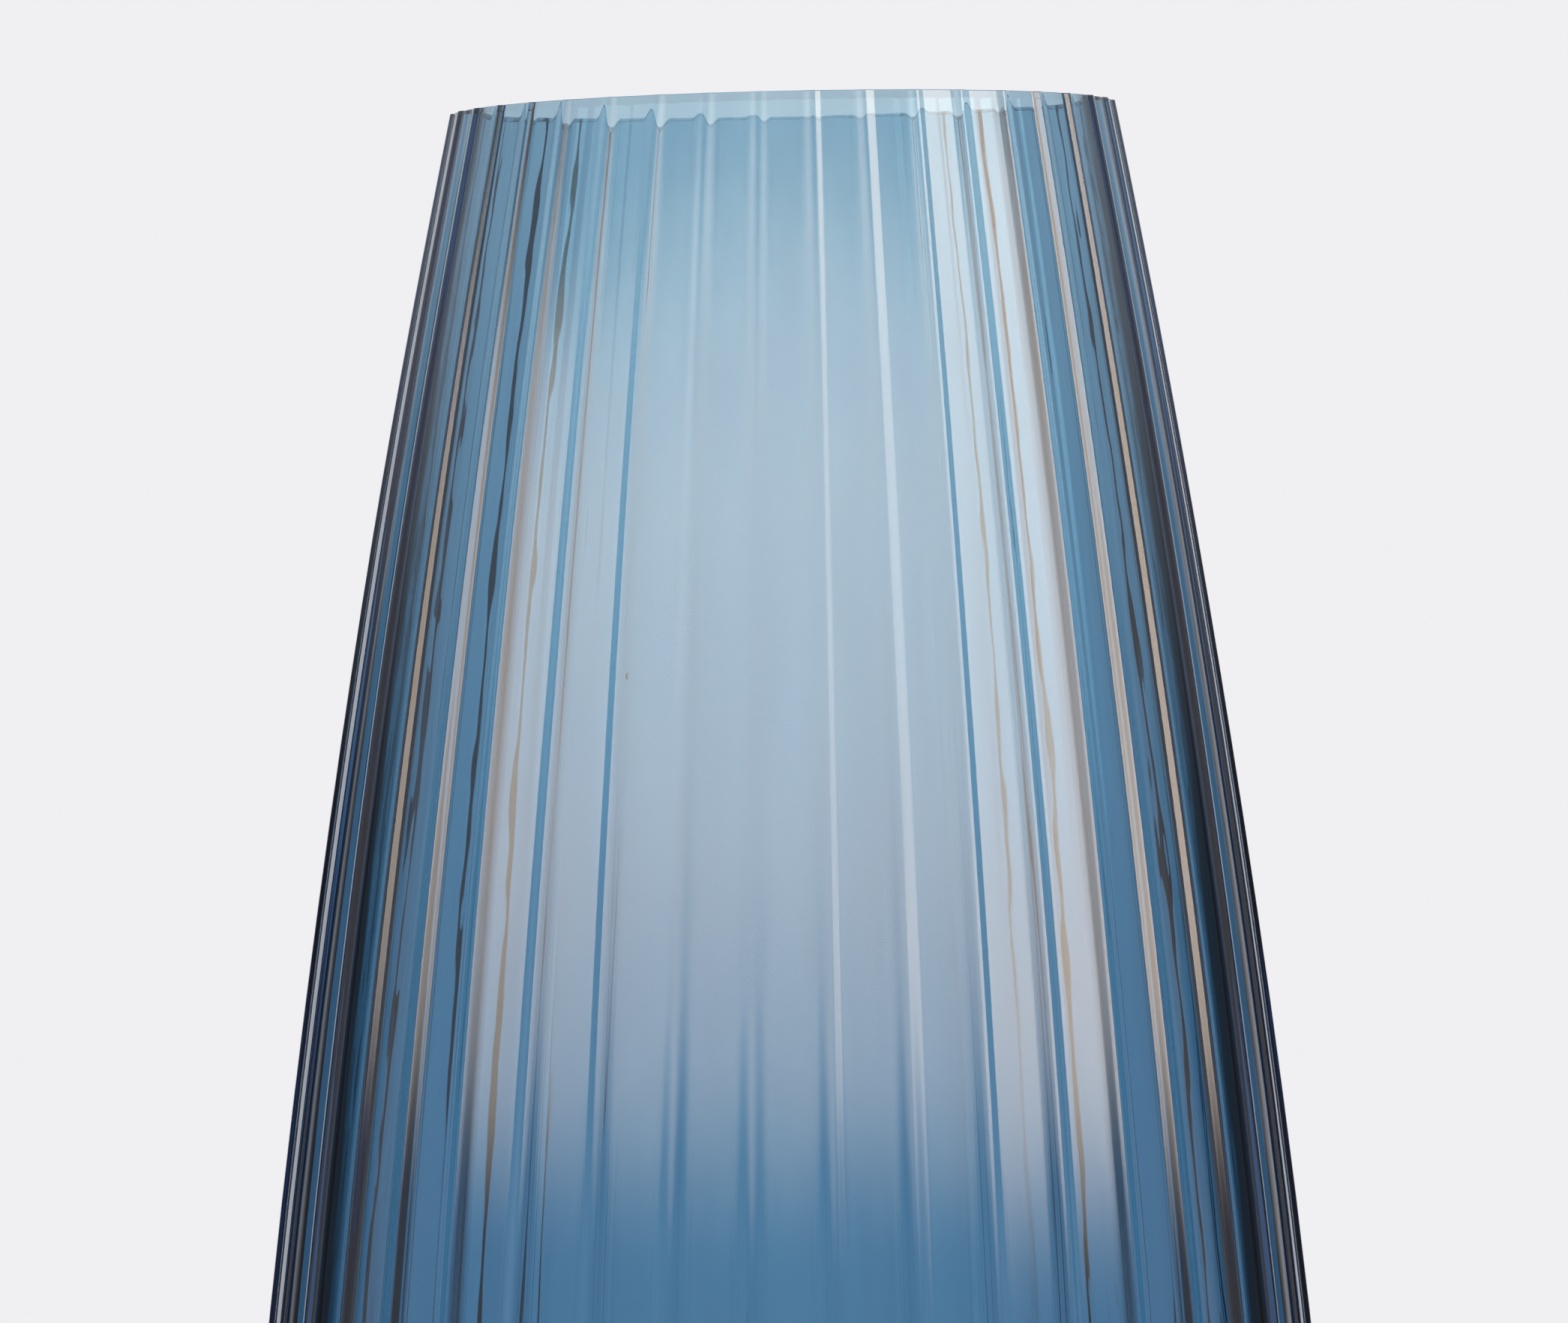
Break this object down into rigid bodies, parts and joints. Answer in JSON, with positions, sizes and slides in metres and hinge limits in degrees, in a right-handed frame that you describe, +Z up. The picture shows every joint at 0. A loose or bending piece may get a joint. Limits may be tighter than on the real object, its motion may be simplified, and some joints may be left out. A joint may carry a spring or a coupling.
{
  "type": "glass bud vase",
  "caption": "Tall tapered bud vase in tinted blown glass, ribbed all the way up, with an open round mouth and a thick flat base.",
  "frame": {"origin": "centre of the flat standing ring, on the surface that the vase stands on", "axes": "+Z up the axis of the vase, from the standing ring to the mouth; the front looks along -Y"},
  "size_m": [0.076, 0.076, 0.18],
  "materials": {
    "base_glass": "solid blue-grey glass, gloss, ground flat on the standing ring",
    "wall_glass": "transparent blue-grey glass, gloss, faint upright draw lines and a few seed bubbles",
    "lip_glass": "transparent blue-grey glass, ground flat and polished"
  },
  "bodies": {
    "root": {"thick_base": "base_glass", "ribbed_wall": "wall_glass", "ground_lip": "lip_glass"}
  },
  "joints": []
}
